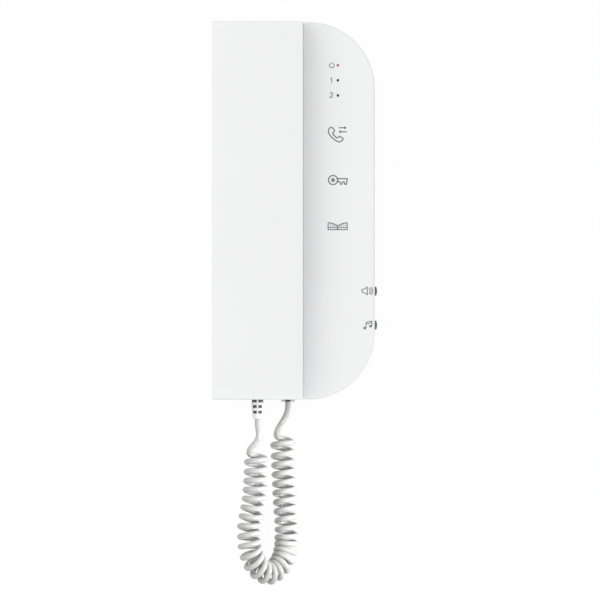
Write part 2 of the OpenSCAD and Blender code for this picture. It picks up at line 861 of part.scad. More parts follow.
// The curly part's outer form
module cord_coil() color(cord_white) wall_frame() {
    right_points = [for (p = coil_right_steps) base_end + p];
    left_points = [for (p = coil_left_steps) handset_end + p];
    right_low = right_points[len(right_points) - 1];
    middle = (right_low + left_points[0]) / 2 + coil_bend_lead;
    side = (right_low - left_points[0]) / 2;
    bend = [for (a = [0:coil_bend_step:180]) middle + cos(a) * side + sin(a) * coil_bend_drop];
    tube(concat(right_points, bend, left_points), coil_d / 2, coil_sides);
}

// The cord from the curly part to the strain relief
module cord_lead_handset() color(cord_white) wall_frame() {
    tube([for (p = handset_lead_steps) handset_end + p], cord_d / 2, cord_sides);
}

// The slotted strain relief, whose collar sits inside the handset's shells
module cord_boot() color(cord_white) wall_frame() {
    translate([handset_x, -top, seam_z]) rotate([-90, 0, 0]) {
        difference() {
            mirror([0, 0, 1]) cylinder(h = boot_h, r1 = boot_r, r2 = boot_tip_r);
            boot_slot(0, boot_r + over);
            for (i = [1:boot_slots - 1]) boot_slot(-i * boot_slot_pitch, boot_rail_x);
        }
        cylinder(h = handset_t + pocket_gap, r = boot_neck_r);
        translate([0, 0, handset_t + pocket_gap]) cylinder(h = boot_collar_h, r = boot_collar_r);
    }
}

// One pair of slots in the strain relief, from its spine out to reach on either side
module boot_slot(z, reach) {
    translate([0, 0, z - boot_slot_h]) difference() {
        intersection() {
            cylinder(h = boot_slot_h, r = boot_r + over);
            box([-reach, -boot_r - over, 0], [reach, boot_r + over, boot_slot_h]);
        }
        translate([0, 0, -over]) cylinder(h = boot_slot_h + 2 * over, r = boot_core_r);
        box([-boot_spine_w / 2, -boot_r - 2 * over, -over],
            [boot_spine_w / 2, boot_r + 2 * over, boot_slot_h + over]);
    }
}

// The hole for the strain relief's neck, half in each shell
module boot_hole() {
    translate([handset_x, -top - over, seam_z]) rotate([-90, 0, 0])
        cylinder(h = handset_t + 2 * over, r = boot_neck_r + running_gap);
}

// The front shell's profile over the handset's width: a crown that runs into round long edges
module handset_profile() {
    translate([left, seam_z]) square([handset_w, handset_edge_z - seam_z]);
    intersection() {
        translate([handset_x - handset_edge_x, seam_z]) square([2 * handset_edge_x, front_shell_d]);
        translate([handset_x, handset_d - crown_r]) circle(crown_r, $fn = 256);
    }
    for (s = [-1, 1]) translate([handset_x + s * handset_edge_x, handset_edge_z]) circle(handset_edge_r);
}

// The handset's front shell, slightly crowned
module handset_front_shell() color(white) wall_frame() {
    difference() {
        union() {
            difference() {
                translate([0, top, 0]) rotate([90, 0, 0]) linear_extrude(unit_h) handset_profile();
                box([left + handset_t, handset_t - top, seam_z - over],
                    [handset_right - handset_t, top - handset_t, handset_in]);
            }
            for (p = handset_screw_points) post(p, seam_z, handset_in + bite, handset_boss_r);
        }
        for (p = handset_screw_points) post(p, seam_z - over, handset_in - handset_screw_end, pilot_r);
        boot_hole();
    }
}

// The handset's side outline from its back to z1, drawn in by inset
module handset_side_area(inset, z1) {
    y1 = top - inset;
    z0 = handset_back + inset;
    gap = gap_y + inset;
    difference() {
        translate([-y1, z0]) square([2 * y1, z1 - z0]);
        round_area([-gap, z0 - 10], [gap, grip_back + inset], finger_r);
    }
}

// The handset's rear shell, with the ear end and the mouth end
module handset_rear_shell() color(white) wall_frame() {
    rib_z = handset_back + handset_t - bite;
    difference() {
        union() {
            difference() {
                translate([left, 0, 0]) rotate([90, 0, 90])
                    linear_extrude(handset_w) handset_side_area(0, seam_z);
                translate([left + handset_t, 0, 0]) rotate([90, 0, 90])
                    linear_extrude(handset_w - 2 * handset_t) handset_side_area(handset_t, seam_z + over);
            }
            for (p = handset_screw_points) post(p, handset_back, seam_z, handset_boss_r);
            for (p = magnet_points) rib_ring(p, rib_z, handset_back + handset_t + keeper_h, magnet_r);
            rib_ring(receiver_at, rib_z, receiver_z + receiver_h / 2, receiver_r);
            rib_ring(microphone_at, rib_z, microphone_z + microphone_h / 2, microphone_holder_r);
        }
        for (p = handset_screw_points) {
            post(p, handset_back - over, handset_head_z, handset_sink_r);
            post(p, handset_back, seam_z + over, pilot_r);
        }
        post(receiver_at, handset_back - over, handset_back + ear_dish_h, ear_dish_r);
        for (g = receiver_hole_rings, k = [0:g[1] - 1])
            let (at = receiver_at + g[0] * [cos(360 * k / g[1]), sin(360 * k / g[1])])
                post(at, handset_back - over, receiver_z, receiver_hole_r);
        post(microphone_at, handset_back - over, microphone_z, microphone_hole_r);
        boot_hole();
    }
}

// The four screws that close the handset, put in from its back
module handset_screws() color(steel) wall_frame() {
    shank_l = handset_in - handset_screw_end - bite - handset_head_z;
    for (p = handset_screw_points) rear_screw(p, handset_head_z, shank_l);
}

// The receiver in the ear end
module receiver_capsule() color(black) wall_frame() {
    post(receiver_at, receiver_z, receiver_z + receiver_h, receiver_r);
}

// The receiver's foam ring
module receiver_gasket() color(foam_grey) wall_frame() {
    ring(receiver_at, receiver_z - receiver_gasket_t, receiver_z, receiver_r, receiver_r - receiver_lip);
}

// The microphone in the mouth end
module microphone_capsule() color(steel) wall_frame() {
    post(microphone_at, microphone_z, microphone_z + microphone_h, microphone_r);
}

// The microphone's rubber holder
module microphone_holder() color(dark_grey) wall_frame() {
    z0 = handset_back + handset_t;
    difference() {
        post(microphone_at, z0, microphone_z + microphone_h + microphone_lip, microphone_holder_r);
        post(microphone_at, microphone_z, microphone_z + microphone_h + 2 * over, microphone_r);
        post(microphone_at, z0 - over, microphone_z + over, microphone_hole_r);
    }
}

// The steel discs in the handset that the magnets hold
module handset_keepers() color(steel) wall_frame() {
    z0 = handset_back + handset_t;
    for (p = magnet_points) post(p, z0, z0 + keeper_h, magnet_r);
}

// The wires from the cord to the receiver and to the microphone
module handset_wires() color([0.7, 0.1, 0.1]) wall_frame() {
    b = handset_wire_bend;
    y0 = handset_t + pocket_gap + boot_collar_h - top;
    y1 = y0 + 5.5 * b;
    x0 = handset_x - handset_wire_step;
    x1 = handset_x + handset_wire_step;
    run_x = handset_x - handset_wire_shift;
    run_z = (seam_z + handset_in) / 2;
    ear = [receiver_at.x, receiver_at.y, receiver_z + receiver_h];
    mouth = [microphone_at.x, microphone_at.y, microphone_z + microphone_h];
    tube([
        [x0, y0, seam_z], [x0, y0 + 0.75 * b, seam_z], [x0 - 0.75 * b, y0 + 2 * b, seam_z + b / 4],
        [run_x, y1, run_z], [run_x, 0, run_z], [run_x, ear.y - 5.5 * b, run_z],
        ear + [-b, -1.5 * b, b], ear + [0, 0, 0.4 * b], ear
    ], handset_wire_r, cord_sides);
    tube([
        [x1, y0, seam_z], [x1, y0 + b, seam_z], [x1, mouth.y - b, seam_z - b / 4],
        mouth + [0, 0, b / 2], mouth
    ], handset_wire_r, cord_sides);
}

rear_plate();
base_cover();
cover_screws();
main_board();
board_screws();
terminal_block();
terminal_screws();
line_choke();
filter_capacitors();
controller_chip();
ring_sounder();
sounder_gasket();
sounder_wires();
key_board();
key_board_screws();
link_header();
link_socket();
call_touch_pad();
door_touch_pad();
gate_touch_pad();
power_light();
channel_1_light();
channel_2_light();
volume_switch();
melody_switch();
volume_button();
melody_button();
hook_switch();
hook_plunger();
hook_spring();
base_magnets();
base_jack();
base_plug();
cord_lead_base();
cord_coil();
cord_lead_handset();
cord_boot();
handset_front_shell();
handset_rear_shell();
handset_screws();
receiver_capsule();
receiver_gasket();
microphone_capsule();
microphone_holder();
handset_keepers();
handset_wires();
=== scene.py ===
"""The slimline wall phone's looks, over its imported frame.

Places are worked out in the wall's own frame, in millimetres: x to the right, up, and out from the wall.
"""
import json
import math

import bmesh
import bpy
import numpy as np
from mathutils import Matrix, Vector

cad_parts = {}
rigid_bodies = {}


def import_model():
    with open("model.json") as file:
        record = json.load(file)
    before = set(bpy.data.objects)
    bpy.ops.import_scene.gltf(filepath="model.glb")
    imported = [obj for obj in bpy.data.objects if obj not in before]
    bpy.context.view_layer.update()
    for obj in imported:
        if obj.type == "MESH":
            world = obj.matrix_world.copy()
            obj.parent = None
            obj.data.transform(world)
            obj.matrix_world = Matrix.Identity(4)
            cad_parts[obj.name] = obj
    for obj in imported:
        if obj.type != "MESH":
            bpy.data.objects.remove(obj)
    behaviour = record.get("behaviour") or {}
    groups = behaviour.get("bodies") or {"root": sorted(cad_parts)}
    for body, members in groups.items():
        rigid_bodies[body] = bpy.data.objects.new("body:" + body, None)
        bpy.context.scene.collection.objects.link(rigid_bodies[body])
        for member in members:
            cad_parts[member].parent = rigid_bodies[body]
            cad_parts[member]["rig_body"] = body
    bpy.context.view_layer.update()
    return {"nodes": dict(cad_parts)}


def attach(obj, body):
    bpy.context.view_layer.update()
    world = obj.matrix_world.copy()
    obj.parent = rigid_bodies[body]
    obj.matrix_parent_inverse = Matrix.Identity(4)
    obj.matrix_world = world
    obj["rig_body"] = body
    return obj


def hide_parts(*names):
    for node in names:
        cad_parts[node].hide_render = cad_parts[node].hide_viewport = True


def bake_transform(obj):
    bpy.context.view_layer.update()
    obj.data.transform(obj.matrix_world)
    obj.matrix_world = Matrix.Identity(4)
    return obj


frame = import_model()
NODES = frame["nodes"]
MM = 0.001


def place(points):
    """Points (x, up, out) of the wall's frame in millimetres, as points of the part's frame in metres."""
    p = np.asarray(points, float).reshape(-1, 3) * MM
    return np.stack([p[:, 0], -p[:, 2], p[:, 1]], 1)


def spot(x, up, out):
    """One such point as a plain tuple."""
    return tuple(float(v) for v in place([(x, up, out)])[0])


# Places and sizes that more than one section uses, in millimetres.
PLUG_X, PLUG_OUT = -3.2, 11.1
BOOT_X, BOOT_OUT = -20.6, 34.0
BOOT_TOP, BOOT_R = -108.0, 3.65
BOOT_TAPER, SLOTS_END = 0.95 / 11, -116.6
VOLUME_UP, MELODY_UP = -46.0, -65.5


# ---------------------------------------------------------------- materials


class Sock:
    """One socket in a material, with the operators of shader maths."""

    def __init__(self, nodes, socket):
        self.nodes = nodes
        self.socket = socket

    def maths(self, operation, *values):
        return self.nodes.maths(operation, *values)

    def __add__(self, other):
        return self.maths("ADD", self, other)

    def __radd__(self, other):
        return self.maths("ADD", other, self)

    def __sub__(self, other):
        return self.maths("SUBTRACT", self, other)

    def __rsub__(self, other):
        return self.maths("SUBTRACT", other, self)

    def __mul__(self, other):
        return self.maths("MULTIPLY", self, other)

    def __rmul__(self, other):
        return self.maths("MULTIPLY", other, self)

    def __gt__(self, other):
        return self.maths("GREATER_THAN", self, other)


class Nodes:
    """A tree of shader nodes."""

    def __init__(self, tree):
        self.tree = tree

    def feed(self, node, key, value):
        if isinstance(key, int):
            socket = node.inputs[key]
        else:
            socket = next(s for s in node.inputs if key in (s.identifier, s.name))
        if isinstance(value, Sock):
            self.tree.links.new(value.socket, socket)
        elif hasattr(value, "__len__") and len(value) == 3 and socket.type == "RGBA":
            socket.default_value = (*value, 1.0)
        else:
            socket.default_value = value

    def node(self, kind, settings=None, inputs=None, output=0):
        node = self.tree.nodes.new(kind)
        for key, value in (settings or {}).items():
            setattr(node, key, value)
        for key, value in (inputs or {}).items():
            self.feed(node, key, value)
        return Sock(self, node.outputs[output]) if node.outputs else None

    def maths(self, operation, *values):
        return self.node("ShaderNodeMath", {"operation": operation}, dict(enumerate(values)))

    def shaders(self, factor, a, b):
        return self.node("ShaderNodeMixShader", {}, {"Fac": factor, 1: a, 2: b})

    def rise(self, value, start, end):
        """0 below start, 1 above end, and smooth between them."""
        return self.node(
            "ShaderNodeMapRange",
            {"interpolation_type": "SMOOTHSTEP"},
            {"Value": value, "From Min": start, "From Max": end},
        )


class Finish(Nodes):
    """A procedural material: one Principled shader and the nodes that vary it over the surface."""

    def __init__(self, name, **uniform):
        self.material = bpy.data.materials.new(name)
        self.material.use_nodes = True
        super().__init__(self.material.node_tree)
        self.shader = self.tree.nodes["Principled BSDF"]
        for key, value in uniform.items():
            self.feed(self.shader, key.replace("_", " "), value)

    def surface(self, **varied):
        for key, value in varied.items():
            self.feed(self.shader, key.replace("_", " "), value)
        return self.material

    def place(self, shift=(0, 0, 0), scale=(1, 1, 1)):
        """Object coordinates, moved and scaled."""
        return self.node(
            "ShaderNodeMapping",
            {},
            {"Vector": self.node("ShaderNodeTexCoord", output="Object"), "Location": shift, "Scale": scale},
        )

    def parts(self):
        """The three object coordinates, each on its own."""
        split = self.node("ShaderNodeSeparateXYZ", {}, {"Vector": self.place()}).socket.node
        return [Sock(self, out) for out in split.outputs]

    def noise(self, scale, detail=3.0, roughness=0.55, at=None):
        return self.node(
            "ShaderNodeTexNoise",
            {},
            {"Vector": at or self.place(), "Scale": scale, "Detail": detail, "Roughness": roughness},
        )

    def cells(self, scale, feature="F1"):
        return self.node(
            "ShaderNodeTexVoronoi", {"feature": feature}, {"Vector": self.place(), "Scale": scale}
        )

    def mix(self, factor, a, b):
        return self.node(
            "ShaderNodeMix",
            {"data_type": "RGBA"},
            {"Factor_Float": factor, "A_Color": a, "B_Color": b},
            output=2,
        )

    def bump(self, height, strength=0.2, distance=0.0001):
        return self.node(
            "ShaderNodeBump", {}, {"Height": height, "Strength": strength, "Distance": distance}
        )


def shade(colour, by):
    return tuple(c * by for c in colour)


def moulded(name, colour, roughness=0.4, grain=2200, strength=0.12, cloud=0.015):
    """Moulded plastic: faint clouding in the colour, a fine spark-eroded grain and uneven gloss."""
    f = Finish(name, IOR=1.5)
    clouds = f.noise(28, 2.0)
    fine = f.noise(grain, 2.0)
    tint = f.mix(clouds, shade(colour, 1 - cloud), shade(colour, 1 + cloud))
    return f.surface(
        Base_Color=tint,
        Roughness=(roughness - 0.05) + 0.07 * fine + 0.03 * clouds,
        Normal=f.bump(fine, strength, 0.00003),
    )


def printed(name, colour):
    """Screen-printed ink: dull, with a thin uneven edge of coverage."""
    f = Finish(name, IOR=1.45)
    patches = f.noise(900, 3.0)
    return f.surface(
        Base_Color=f.mix(patches, shade(colour, 0.9), shade(colour, 1.12)),
        Roughness=0.5 + 0.15 * patches,
        Normal=f.bump(patches, 0.1, 0.00001),
    )


def metal(name, colour, roughness=0.3, brushed=(1, 1, 1)):
    """Plated or rolled metal with fine scratches along one way."""
    f = Finish(name, Metallic=1.0)
    lines = f.noise(1500, 3.0, at=f.place(scale=brushed))
    tarnish = f.noise(90, 3.0)
    return f.surface(
        Base_Color=f.mix(tarnish, shade(colour, 0.85), colour),
        Roughness=(roughness - 0.08) + 0.16 * lines,
        Normal=f.bump(lines, 0.12, 0.00002),
    )


def circuit_board(name):
    """Solder mask over copper tracks, with a scatter of bright pads."""
    f = Finish(name, IOR=1.5, Coat_Weight=0.3)
    tracks = f.node(
        "ShaderNodeTexBrick",
        {"offset": 0.37},
        {
            "Vector": f.place(scale=(1, 0, 1)),
            "Scale": 120.0,
            "Mortar Size": 0.05,
            "Brick Width": 0.9,
            "Row Height": 0.35,
            "Color1": (0, 0, 0),
            "Color2": (0, 0, 0),
            "Mortar": (1, 1, 1),
        },
    )
    pads = 1 - (f.cells(320) > 0.16)
    mask = f.mix(tracks, (0.012, 0.13, 0.06), (0.03, 0.22, 0.1))
    return f.surface(
        Base_Color=f.mix(pads, mask, (0.62, 0.6, 0.55)),
        Roughness=0.35 + 0.1 * f.noise(500),
        Metallic=pads * 0.8,
        Normal=f.bump(tracks, 0.3, 0.00005),
    )


def foam(name, colour):
    f = Finish(name, IOR=1.4)
    pores = f.cells(1900)
    return f.surface(
        Base_Color=f.mix(pores, shade(colour, 0.5), shade(colour, 1.2)),
        Roughness=0.9 + 0.05 * pores,
        Normal=f.bump(pores, 0.7, 0.0003),
    )


def winding(name, colour):
    """Lacquered wire wound round a core: fine rings along the part's depth."""
    f = Finish(name, Metallic=0.9, Coat_Weight=0.4)
    rings = f.node(
        "ShaderNodeTexWave",
        {"bands_direction": "Y"},
        {"Vector": f.place(), "Scale": 650.0, "Distortion": 0.6, "Detail": 1.0},
    )
    return f.surface(
        Base_Color=f.mix(rings, shade(colour, 0.35), colour),
        Roughness=0.28 + 0.15 * rings,
        Normal=f.bump(rings, 0.6, 0.0001),
    )


def cord_skin(name, colour):
    """The cord's soft vinyl: smooth, a little uneven along its length, with a low sheen."""
    f = Finish(name, IOR=1.5, Coat_Weight=0.15)
    slow = f.noise(60, 2.0)
    fine = f.noise(1400, 2.0)
    return f.surface(
        Base_Color=f.mix(slow, shade(colour, 0.97), colour),
        Roughness=0.36 + 0.08 * fine,
        Normal=f.bump(fine, 0.08, 0.00003),
    )


def slotted(name, colour, painted_shade):
    """The boot's soft plastic, with painted shade where the surface lies below its tapered outside (in its slots and on
    the sleeve behind them), down to its plain foot.
    """
    f = Finish(name, IOR=1.45)
    x, y, z = f.parts()
    x, y = x - BOOT_X * MM, y + BOOT_OUT * MM
    outer = BOOT_R * MM + (z - BOOT_TOP * MM) * BOOT_TAPER
    sunk = outer - f.maths("SQRT", x * x + y * y)
    above = f.rise(z, (SLOTS_END - 0.1) * MM, (SLOTS_END + 0.1) * MM)
    # Painted shade: dark wherever the surface lies sunk below the boot's outside, above the foot.
    slot_shade_mask = f.rise(sunk, 0.05 * MM, 0.25 * MM) * above
    fine = f.noise(1700, 2.0)
    return f.surface(
        Base_Color=f.mix(slot_shade_mask, f.mix(fine, shade(colour, 0.97), colour), painted_shade),
        Roughness=0.5 + 0.06 * fine,
        Normal=f.bump(fine, 0.1, 0.00003),
    )


def plug_plastic(name, colour, painted_shade):
    """Clear grey plastic, with painted shade across its middle where the cord goes in."""
    f = Finish(name, IOR=1.5, Coat_Weight=0.5)
    x, y, z = f.parts()
    # Painted shade: the middle band, where the cord goes in, takes the dark colour; outside it the plastic's own grey.
    outside = f.rise(f.maths("ABSOLUTE", x - PLUG_X * MM), 1.1 * MM, 1.7 * MM)
    fine = f.noise(900, 2.0)
    return f.surface(
        Base_Color=f.mix(outside, painted_shade, f.mix(fine, shade(colour, 0.94), colour)),
        Roughness=0.2 + 0.06 * fine,
        Normal=f.bump(fine, 0.1, 0.00003),
    )


def lens(name, colour, glow=0.0):
    """A light's clear rod, with its chip's colour showing through."""
    f = Finish(name, IOR=1.5, Coat_Weight=0.8, Emission_Strength=glow)
    flecks = f.noise(2600, 2.0)
    return f.surface(
        Base_Color=f.mix(flecks, shade(colour, 0.85), shade(colour, 1.1)),
        Emission_Color=f.mix(flecks, shade(colour, 0.8), colour),
        Roughness=0.18 + 0.08 * flecks,
    )


WHITE = (0.86, 0.862, 0.868)
finishes = {
    "cover_white": moulded("cover_white", WHITE, 0.42),
    "handset_white": moulded("handset_white", WHITE, 0.38),
    "plate_white": moulded("plate_white", shade(WHITE, 0.94), 0.5, 1500, 0.2),
    "button_grey": moulded("button_grey", (0.15, 0.152, 0.158), 0.5, 1800, 0.25, 0.04),
    "black_plastic": moulded("black_plastic", (0.022, 0.022, 0.024), 0.45, 1600, 0.2, 0.05),
    "terminal_green": moulded("terminal_green", (0.02, 0.26, 0.1), 0.45, 1500, 0.2, 0.04),
    # The plug's grey, with a near-black painted shade for its middle.
    "plug_clear": plug_plastic("plug_clear", (0.62, 0.625, 0.63), (0.02, 0.02, 0.021)),
    # The boot's white, with a near-black painted shade for its slots and the sleeve behind them.
    "boot_white": slotted("boot_white", shade(WHITE, 0.97), (0.075, 0.075, 0.076)),
    "cord_white": cord_skin("cord_white", (0.5, 0.5, 0.492)),
    "ink": printed("ink", (0.2, 0.205, 0.21)),
    "light_red": lens("light_red", (0.36, 0.12, 0.11), 0.2),
    "light_dark": lens("light_dark", (0.012, 0.012, 0.014)),
    "screw_steel": metal("screw_steel", (0.72, 0.73, 0.75), 0.3, (1, 1, 6)),
    "magnet_nickel": metal("magnet_nickel", (0.8, 0.78, 0.74), 0.2),
    "capsule_metal": metal("capsule_metal", (0.75, 0.75, 0.76), 0.35, (6, 1, 1)),
    "pad_copper": metal("pad_copper", (0.8, 0.42, 0.26), 0.35, (1, 1, 5)),
    "circuit_board": circuit_board("circuit_board"),
    "choke_winding": winding("choke_winding", (0.75, 0.36, 0.2)),
    "foam": foam("foam", (0.12, 0.12, 0.13)),
    "rubber": moulded("rubber", (0.05, 0.05, 0.055), 0.7, 1300, 0.35, 0.05),
    "wire_red": cord_skin("wire_red", (0.5, 0.03, 0.03)),
}

FINISH_OF = {
    "rear_plate": "plate_white",
    "base_cover": "cover_white",
    "handset_front_shell": "handset_white",
    "handset_rear_shell": "handset_white",
    "cover_screws": "screw_steel",
    "board_screws": "screw_steel",
    "terminal_screws": "screw_steel",
    "key_board_screws": "screw_steel",
    "handset_screws": "screw_steel",
    "hook_spring": "screw_steel",
    "main_board": "circuit_board",
    "key_board": "circuit_board",
    "terminal_block": "terminal_green",
    "line_choke": "choke_winding",
    "filter_capacitors": "black_plastic",
    "controller_chip": "black_plastic",
    "ring_sounder": "black_plastic",
    "receiver_capsule": "black_plastic",
    "link_header": "black_plastic",
    "link_socket": "black_plastic",
    "volume_switch": "black_plastic",
    "melody_switch": "black_plastic",
    "hook_switch": "black_plastic",
    "base_jack": "black_plastic",
    "sounder_gasket": "foam",
    "receiver_gasket": "foam",
    "sounder_wires": "wire_red",
    "handset_wires": "wire_red",
    "call_touch_pad": "pad_copper",
    "door_touch_pad": "pad_copper",
    "gate_touch_pad": "pad_copper",
    "power_light": "light_red",
    "channel_1_light": "light_dark",
    "channel_2_light": "light_dark",
    "volume_button": "button_grey",
    "melody_button": "button_grey",
    "hook_plunger": "button_grey",
    "base_magnets": "magnet_nickel",
    "handset_keepers": "magnet_nickel",
    "microphone_capsule": "capsule_metal",
    "microphone_holder": "rubber",
    "base_plug": "plug_clear",
    "cord_boot": "boot_white",
    "cord_lead_base": "cord_white",
    "cord_coil": "cord_white",
    "cord_lead_handset": "cord_white",
}
for node_name, finish_name in FINISH_OF.items():
    for slot in NODES[node_name].material_slots:
        slot.material = finishes[finish_name]


# ---------------------------------------------------------------- meshes


def piece(name, mesh, finish, body=None, replaces=()):
    """A shown object made of mesh, at the origin, riding on a body."""
    obj = bpy.data.objects.new(name, mesh)
    bpy.context.scene.collection.objects.link(obj)
    if not mesh.materials:
        mesh.materials.append(finishes[finish])
    if replaces:
        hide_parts(*replaces)
    if body:
        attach(obj, body)
    return obj


def mesh_of(name, points, faces):
    """A mesh from points of the wall's frame."""
    mesh = bpy.data.meshes.new(name)
    mesh.from_pydata([tuple(p) for p in place(points)], [], faces)
    mesh.update()
    return mesh


def outward(mesh, join=True):
    """Turns a closed mesh's normals outwards, after joining the points that coincide."""
    b = bmesh.new()
    b.from_mesh(mesh)
    if join:
        bmesh.ops.remove_doubles(b, verts=b.verts, dist=1e-7)
    bmesh.ops.recalc_face_normals(b, faces=b.faces)
    b.to_mesh(mesh)
    b.free()
    return mesh


def smooth(mesh, angle=32):
    """Smooth shading up to an angle, with flat faces kept flat."""
    for p in mesh.polygons:
        p.use_smooth = True
    mesh.set_sharp_from_angle(angle=math.radians(angle))
    return mesh


def finish_modifiers(obj):
    """Applies the object's modifiers to a plain mesh."""
    graph = bpy.context.evaluated_depsgraph_get()
    mesh = bpy.data.meshes.new_from_object(obj.evaluated_get(graph), depsgraph=graph)
    obj.modifiers.clear()
    obj.data = mesh
    return obj


def even_shading(obj):
    """Weighs the shading by the size of the faces, and applies all modifiers."""
    even = obj.modifiers.new("shading", "WEIGHTED_NORMAL")
    even.keep_sharp = True
    return finish_modifiers(obj)


def soften(obj, width):
    """Rounds the edges sharper than 50 degrees and evens the shading."""
    bevel = obj.modifiers.new("edges", "BEVEL")
    bevel.width = width * MM
    bevel.segments = 3
    bevel.limit_method = "ANGLE"
    bevel.angle_limit = math.radians(50)
    return even_shading(obj)


# ---------------------------------------------------------------- camera

FIELD_W = 342.9
AIM_X, AIM_UP, AIM_OUT = 3.7, -51.1, 38.0
LENS = 500.0
SENSOR = 36.0


def make_camera():
    """A long lens, level and square to the wall, that sees FIELD_W millimetres at the depth AIM_OUT."""
    data = bpy.data.cameras.new("camera")
    data.lens = LENS
    data.sensor_width = SENSOR
    data.clip_start = 0.1
    data.clip_end = 60.0
    camera = bpy.data.objects.new("camera", data)
    camera.location = spot(AIM_X, AIM_UP, AIM_OUT + FIELD_W * LENS / SENSOR)
    camera.rotation_euler = (math.pi / 2, 0, 0)
    bpy.context.scene.collection.objects.link(camera)
    bpy.context.scene.camera = camera


make_camera()

# ---------------------------------------------------------------- the curly cord

CORD_D = 3.3
TURN_R = 5.55
COIL_FACING = [0.636, 0.0, 0.77]
BASE_LEAD = [
    (PLUG_X, -107.6, PLUG_OUT), (PLUG_X, -110.6, PLUG_OUT), (-3.4, -114.2, 11.1), (-4.6, -118.0, 11.3),
    (-6.7, -121.6, 11.8), (-8.8, -125.0, 12.3), (-9.9, -127.8, 11.6), (-9.4, -129.8, 9.2),
    (-6.9, -130.9, 7.3), (-3.6, -131.5, 7.5),
]
HANDSET_LEAD = [
    (BOOT_X, SLOTS_END, BOOT_OUT), (BOOT_X, -119.6, BOOT_OUT), (-20.5, -123.2, 34.0), (-19.9, -127.0, 34.0),
    (-20.3, -130.6, 34.0), (-22.3, -133.6, 33.8), (-24.6, -136.0, 33.4), (-25.6, -138.2, 31.8),
    (-24.8, -139.6, 29.2), (-22.2, -140.4, 27.3), (-18.9, -140.8, 27.5),
]
RIGHT_AXIS = [
    (-5.9, -129.0, 12.1), (-6.4, -134.0, 12.1), (-6.0, -144.0, 12.1), (-5.0, -165.0, 12.6), (-4.0, -180.0, 13.6),
]
LEFT_AXIS = [
    (-25.2, -180.0, 31.0), (-22.6, -165.0, 32.0), (-21.5, -150.0, 32.0), (-21.3, -143.0, 32.0), (-21.2, -138.6, 32.0),
]
BEND_MIDDLE = np.array([-14.6, -188.0, 22.3])
BEND_SIDE = np.array([10.6, 0.0, -8.7])
BEND_DROP = np.array([0.0, -19.0, 0.0])
FIRST_TURN, LAST_TURN = 0.5, 30.8
# How far along the loop's middle line each turn stands, in millimetres.
TURN_AT = [
    (0.0, -0.6), (0.5, 2.7), (1.5, 9.3), (2.5, 14.7), (4.5, 25.4), (6.5, 36.0), (8.5, 46.5), (9.5, 51.9),
    (10.5, 57.2), (11.5, 61.7), (12.5, 66.1), (13.5, 70.6), (14.5, 74.8), (15.4, 79.0), (16.4, 83.1),
    (17.4, 87.0), (18.35, 91.5), (19.3, 96.7), (20.3, 102.0), (21.3, 107.1), (22.3, 112.4), (23.3, 117.6),
    (25.3, 128.0), (27.3, 138.7), (29.3, 149.0), (30.3, 155.1), (31.28, 160.6),
]
# How many degrees each turn leans.
TURN_LEAN = [
    (0, -6), (10, -6), (12, -6), (13.5, -12), (15, -16), (16.7, -10), (18.2, 0), (19.3, 6), (20.3, 4),
    (21.3, -2), (22.3, -6), (32, -6),
]
# How far the turns' front hangs below their back, for each millimetre of depth.
TURN_TIP = 0.08
SPAN_STEPS, STEPS_PER_TURN = 24, 18
AXIS_POINTS, DRAFT_POINTS, CORD_POINTS = 1600, 660, 640
CORD_SIDES = 12
# Turns nearer to each other than the first are pushed out to the second, in cord widths.
TOO_NEAR, APART = 1.01, 1.02
# Points at each end that relaxing leaves in place, and points over which it sets in.
HELD, EASED = 26, 30


def through(points, count):
    """A smooth curve through points, count points in all, evenly spaced."""
    p = np.asarray(points, float)
    ext = np.vstack([2 * p[0] - p[1], p, 2 * p[-1] - p[-2]])
    out = []
    for i in range(1, len(ext) - 2):
        a, b, c, d = ext[i - 1 : i + 3]
        for t in np.linspace(0, 1, SPAN_STEPS, endpoint=False):
            bent = (2 * a - 5 * b + 4 * c - d) * t**2 + (3 * b - a - 3 * c + d) * t**3
            out.append(0.5 * (2 * b + (c - a) * t + bent))
    out.append(p[-1])
    return evenly(np.array(out), count)


def run_of(points):
    """The length along a line up to each of its points."""
    return np.concatenate([[0], np.cumsum(np.linalg.norm(np.diff(points, axis=0), axis=1))])


def evenly(points, count):
    """The same line with count points, evenly spaced."""
    run = run_of(points)
    want = np.linspace(0, run[-1], count)
    return np.stack([np.interp(want, run, points[:, k]) for k in range(3)], 1)


def soft_steps(table, at, window):
    """A table's values at the given places, its corners rounded over a window."""
    x, y = np.array(table).T
    return np.mean([np.interp(at + shift, x, y) for shift in np.linspace(-window, window, 9)], 0)


def coil_line():
    """The coil's turns, wound round the middle line of its hanging loop, each leaning a little."""
    a = np.radians(np.arange(0, 181, 15))[:, None]
    bend = BEND_MIDDLE + np.cos(a) * BEND_SIDE + np.sin(a) * BEND_DROP
    axis = through(np.vstack([RIGHT_AXIS, bend, LEFT_AXIS]), AXIS_POINTS)
    run = run_of(axis)
    turn = np.linspace(FIRST_TURN, LAST_TURN, int((LAST_TURN - FIRST_TURN) * STEPS_PER_TURN))
    at = soft_steps(TURN_AT, turn, 0.6)
    centre = np.stack([np.interp(at, run, axis[:, k]) for k in range(3)], 1)
    along = np.stack([np.interp(at, run, c) for c in np.gradient(axis, axis=0).T], 1)
    along /= np.linalg.norm(along, axis=1)[:, None]
    side = np.cross(along, COIL_FACING)
    side /= np.linalg.norm(side, axis=1)[:, None]
    front = np.cross(side, along)
    lean = np.radians(soft_steps(TURN_LEAN, turn, 0.8))[:, None]
    side = np.cos(lean) * side + np.sin(lean) * along
    start = math.degrees(math.atan2(-COIL_FACING[0], COIL_FACING[2]))
    angle = np.radians(start - 360 * turn)[:, None]
    coil = centre + TURN_R * (np.cos(angle) * side + np.sin(angle) * front)
    coil[:, 1] -= TURN_TIP * (coil[:, 2] - centre[:, 2])
    return coil


